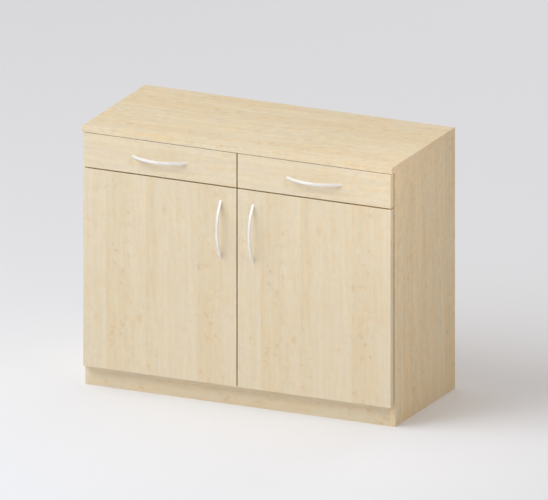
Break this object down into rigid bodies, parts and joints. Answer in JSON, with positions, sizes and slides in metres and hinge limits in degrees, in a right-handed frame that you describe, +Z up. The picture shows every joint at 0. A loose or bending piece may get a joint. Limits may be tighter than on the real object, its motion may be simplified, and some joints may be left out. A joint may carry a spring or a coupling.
{
  "type": "sideboard",
  "caption": "Low sideboard with a row of drawers over hinged cupboard doors, bow handles and an adjustable shelf",
  "frame": {"origin": "on the floor, below the centre of the whole object's plan, its handles included", "axes": "+X to the right as seen from the front, +Y to the back, +Z up"},
  "size_m": [1, 0.471, 0.8],
  "materials": {
    "front_board": "satin maple decor on laminated board",
    "carcass_board": "satin maple decor on laminated board",
    "back_board": "matt decor paper on thin board",
    "beech": "raw turned beech",
    "zinc_casting": "die-cast zinc",
    "zinc_plate": "bright zinc plate",
    "nickel_plate": "bright nickel plate",
    "white_steel": "white powder coat",
    "nylon": "natural nylon",
    "drawer_board": "pale laminated board",
    "handle_metal": "satin silver",
    "clear_rubber": "soft clear bumper"
  },
  "bodies": {
    "carcass": {"side_left": "front_board", "side_right": "front_board", "top_panel": "front_board", "bottom_panel": "carcass_board", "drawer_deck": "carcass_board", "drawer_divider": "carcass_board", "back_panel": "back_board", "plinth_front": "front_board", "plinth_rear": "carcass_board", "shelf": "carcass_board", "shelf_pins": "zinc_plate", "dowels": "beech", "cam_housings": "zinc_casting", "cam_bolts": "zinc_plate", "hinge_plates": "zinc_casting", "hinge_plate_screws": "zinc_plate", "hinge_arms": "nickel_plate", "cabinet_runners_left": "white_steel", "cabinet_runners_right": "white_steel", "cabinet_runner_screws": "zinc_plate"},
    "drawer_left": {"drawer_left_front": "front_board", "drawer_left_handle": "handle_metal", "drawer_left_handle_screws": "zinc_plate", "drawer_left_side_inner": "drawer_board", "drawer_left_side_outer": "drawer_board", "drawer_left_inner_front": "drawer_board", "drawer_left_back": "drawer_board", "drawer_left_bottom": "drawer_board", "drawer_left_rails": "white_steel", "drawer_left_rail_screws": "zinc_plate"},
    "front_roller_left_outer": {"front_roller_left_outer": "nylon"},
    "rear_roller_left_outer": {"rear_roller_left_outer": "nylon"},
    "front_roller_left_inner": {"front_roller_left_inner": "nylon"},
    "rear_roller_left_inner": {"rear_roller_left_inner": "nylon"},
    "drawer_right": {"drawer_right_front": "front_board", "drawer_right_handle": "handle_metal", "drawer_right_handle_screws": "zinc_plate", "drawer_right_side_inner": "drawer_board", "drawer_right_side_outer": "drawer_board", "drawer_right_inner_front": "drawer_board", "drawer_right_back": "drawer_board", "drawer_right_bottom": "drawer_board", "drawer_right_rails": "white_steel", "drawer_right_rail_screws": "zinc_plate"},
    "front_roller_right_outer": {"front_roller_right_outer": "nylon"},
    "rear_roller_right_outer": {"rear_roller_right_outer": "nylon"},
    "front_roller_right_inner": {"front_roller_right_inner": "nylon"},
    "rear_roller_right_inner": {"rear_roller_right_inner": "nylon"},
    "door_left": {"door_left_panel": "front_board", "door_left_handle": "handle_metal", "door_left_handle_screws": "zinc_plate", "door_left_hinge_cups": "nickel_plate", "door_left_hinge_pins": "zinc_plate", "door_left_bumpers": "clear_rubber"},
    "door_right": {"door_right_panel": "front_board", "door_right_handle": "handle_metal", "door_right_handle_screws": "zinc_plate", "door_right_hinge_cups": "nickel_plate", "door_right_hinge_pins": "zinc_plate", "door_right_bumpers": "clear_rubber"}
  },
  "joints": [
    {"name": "drawer_left_slide", "type": "slide", "parent": "carcass", "child": "drawer_left", "axis": [0, -1, 0], "range_m": [0, 0.26]},
    {"name": "front_roller_left_outer_spin", "type": "hinge", "parent": "carcass", "child": "front_roller_left_outer", "pos_m": [-0.4749, -0.1665, 0.7035], "axis": [1, 0, 0], "continuous": true},
    {"name": "rear_roller_left_outer_spin", "type": "hinge", "parent": "drawer_left", "child": "rear_roller_left_outer", "pos_m": [-0.4749, 0.1515, 0.7035], "axis": [1, 0, 0], "continuous": true},
    {"name": "front_roller_left_inner_spin", "type": "hinge", "parent": "carcass", "child": "front_roller_left_inner", "pos_m": [-0.0156, -0.1665, 0.7035], "axis": [1, 0, 0], "continuous": true},
    {"name": "rear_roller_left_inner_spin", "type": "hinge", "parent": "drawer_left", "child": "rear_roller_left_inner", "pos_m": [-0.0156, 0.1515, 0.7035], "axis": [1, 0, 0], "continuous": true},
    {"name": "drawer_right_slide", "type": "slide", "parent": "carcass", "child": "drawer_right", "axis": [0, -1, 0], "range_m": [0, 0.26]},
    {"name": "front_roller_right_outer_spin", "type": "hinge", "parent": "carcass", "child": "front_roller_right_outer", "pos_m": [0.4749, -0.1665, 0.7035], "axis": [1, 0, 0], "continuous": true},
    {"name": "rear_roller_right_outer_spin", "type": "hinge", "parent": "drawer_right", "child": "rear_roller_right_outer", "pos_m": [0.4749, 0.1515, 0.7035], "axis": [1, 0, 0], "continuous": true},
    {"name": "front_roller_right_inner_spin", "type": "hinge", "parent": "carcass", "child": "front_roller_right_inner", "pos_m": [0.0156, -0.1665, 0.7035], "axis": [1, 0, 0], "continuous": true},
    {"name": "rear_roller_right_inner_spin", "type": "hinge", "parent": "drawer_right", "child": "rear_roller_right_inner", "pos_m": [0.0156, 0.1515, 0.7035], "axis": [1, 0, 0], "continuous": true},
    {"name": "door_left_hinge", "type": "hinge", "parent": "carcass", "child": "door_left", "pos_m": [-0.4875, -0.195, 0.3666], "axis": [0, 0, -1], "range_deg": [0, 95]},
    {"name": "door_right_hinge", "type": "hinge", "parent": "carcass", "child": "door_right", "pos_m": [0.4875, -0.195, 0.3666], "axis": [0, 0, 1], "range_deg": [0, 95]}
  ],
  "couplings": [
    {"joint": "front_roller_left_outer_spin", "follows": "drawer_left_slide", "rad_per_m": 108.7},
    {"joint": "rear_roller_left_outer_spin", "follows": "drawer_left_slide", "rad_per_m": 108.7},
    {"joint": "front_roller_left_inner_spin", "follows": "drawer_left_slide", "rad_per_m": 108.7},
    {"joint": "rear_roller_left_inner_spin", "follows": "drawer_left_slide", "rad_per_m": 108.7},
    {"joint": "front_roller_right_outer_spin", "follows": "drawer_right_slide", "rad_per_m": 108.7},
    {"joint": "rear_roller_right_outer_spin", "follows": "drawer_right_slide", "rad_per_m": 108.7},
    {"joint": "front_roller_right_inner_spin", "follows": "drawer_right_slide", "rad_per_m": 108.7},
    {"joint": "rear_roller_right_inner_spin", "follows": "drawer_right_slide", "rad_per_m": 108.7}
  ]
}
